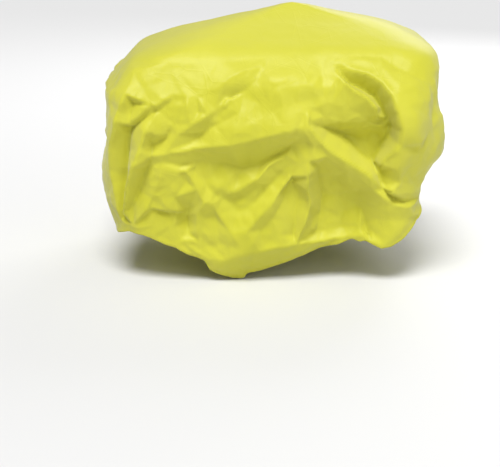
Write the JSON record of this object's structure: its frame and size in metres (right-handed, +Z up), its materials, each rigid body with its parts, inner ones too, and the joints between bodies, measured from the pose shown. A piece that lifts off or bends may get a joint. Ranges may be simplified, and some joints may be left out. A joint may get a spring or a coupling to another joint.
{
  "type": "bicycle tail bag with rain cover",
  "caption": "Box-shaped bicycle rack bag with zipped lid, side pockets and rack straps, wrapped in a loose hi-vis rain cover with an elastic hem.",
  "frame": {"origin": "middle of the underside of the grip mat, the face that lies on the bicycle's rear rack; the cover's hem and the rack straps hang below it", "axes": "+X to the rear of the bicycle along the bag's length, +Y to the far side where the lid is hinged, +Z up"},
  "size_m": [0.364, 0.254, 0.2799],
  "materials": {
    "cover_fabric": "thin hi-vis yellow coated nylon, soft sheen",
    "bag_fabric": "black coated polyester weave",
    "webbing": "black ribbed webbing",
    "zip_tape": "black zip tape with nylon coil",
    "reflective_tape": "silver grey reflective tape",
    "rubber": "matt ribbed rubber",
    "elastic": "covered elastic cord",
    "board": "matt polypropylene",
    "lining": "grey brushed lining over foam",
    "foam": "grey lined foam",
    "net": "black net",
    "metal": "gunmetal plating"
  },
  "bodies": {
    "bag": {"grip_mat": "rubber", "tub_shell": "bag_fabric", "base_board": "board", "foam_liner": "lining", "main_zip_lower": "zip_tape", "lid_hinge_strip": "bag_fabric", "base_piping_front": "reflective_tape", "base_piping_rear": "reflective_tape", "side_pocket_near": "bag_fabric", "side_pocket_far": "bag_fabric", "pocket_zip_near": "zip_tape", "pocket_zip_far": "zip_tape", "reflector_near": "reflective_tape", "reflector_far": "reflective_tape", "reflector_rear": "reflective_tape", "rack_strap_front_near": "webbing", "rack_strap_front_far": "webbing", "rack_strap_rear_near": "webbing", "rack_strap_rear_far": "webbing", "d_ring_tab_front": "webbing", "d_ring_tab_rear": "webbing"},
    "lid": {"lid_shell": "bag_fabric", "lid_foam": "foam", "lid_mesh_pocket": "net", "main_zip_upper": "zip_tape", "lid_piping": "reflective_tape", "handle_webbing": "webbing", "handle_grip": "rubber", "handle_patch_front": "bag_fabric", "handle_patch_rear": "bag_fabric"},
    "divider": {"divider": "lining"},
    "main_front_slider": {"main_front_slider": "metal"},
    "main_front_tab": {"main_front_pull_tab": "metal"},
    "main_rear_slider": {"main_rear_slider": "metal"},
    "main_rear_tab": {"main_rear_pull_tab": "metal"},
    "pocket_near_slider": {"pocket_near_slider": "metal"},
    "pocket_near_tab": {"pocket_near_pull_tab": "metal"},
    "pocket_far_slider": {"pocket_far_slider": "metal"},
    "pocket_far_tab": {"pocket_far_pull_tab": "metal"},
    "d_ring_front": {"d_ring_front": "metal"},
    "d_ring_rear": {"d_ring_rear": "metal"},
    "rain_cover": {"rain_cover_shell": "cover_fabric", "hem_channel": "cover_fabric", "hem_elastic": "elastic"}
  },
  "joints": [
    {"name": "cover_lift", "type": "slide", "parent": "bag", "child": "rain_cover", "axis": [0, 0, 1], "range_m": [0, 0.45]},
    {"name": "lid_open", "type": "hinge", "parent": "bag", "child": "lid", "pos_m": [0, 0.0986, 0.1502], "axis": [-1, 0, 0], "range_deg": [0, 85]},
    {"name": "divider_slide", "type": "slide", "parent": "bag", "child": "divider", "axis": [1, 0, 0], "range_m": [-0.1, 0.1]},
    {"name": "main_slide_front", "type": "slide", "parent": "bag", "child": "main_front_slider", "axis": [-1, 0, 0], "range_m": [0, 0.1]},
    {"name": "main_tab_front", "type": "hinge", "parent": "main_front_slider", "child": "main_front_tab", "pos_m": [-0.0085, -0.1035, 0.1502], "axis": [0, 0, 1], "range_deg": [0, 110]},
    {"name": "main_slide_rear", "type": "slide", "parent": "bag", "child": "main_rear_slider", "axis": [1, 0, 0], "range_m": [0, 0.1]},
    {"name": "main_tab_rear", "type": "hinge", "parent": "main_rear_slider", "child": "main_rear_tab", "pos_m": [0.0085, -0.1035, 0.1502], "axis": [0, 0, -1], "range_deg": [0, 110]},
    {"name": "pocket_slide_near", "type": "slide", "parent": "bag", "child": "pocket_near_slider", "axis": [1, 0, 0], "range_m": [0, 0.112]},
    {"name": "pocket_tab_near", "type": "hinge", "parent": "pocket_near_slider", "child": "pocket_near_tab", "pos_m": [-0.092, -0.1035, 0.1235], "axis": [0, -1, 0], "range_deg": [0, 170]},
    {"name": "pocket_slide_far", "type": "slide", "parent": "bag", "child": "pocket_far_slider", "axis": [1, 0, 0], "range_m": [0, 0.112]},
    {"name": "pocket_tab_far", "type": "hinge", "parent": "pocket_far_slider", "child": "pocket_far_tab", "pos_m": [-0.092, 0.1035, 0.1235], "axis": [0, -1, 0], "range_deg": [0, 170]},
    {"name": "d_ring_swing_front", "type": "hinge", "parent": "bag", "child": "d_ring_front", "pos_m": [-0.15294, 0, 0.11], "axis": [0, 1, 0], "range_deg": [-10, 150]},
    {"name": "d_ring_swing_rear", "type": "hinge", "parent": "bag", "child": "d_ring_rear", "pos_m": [0.15294, 0, 0.11], "axis": [0, -1, 0], "range_deg": [-10, 150]}
  ],
  "couplings": [
    {"joint": "lid_open", "follows": "cover_lift", "rad_per_m": 3.296}
  ]
}
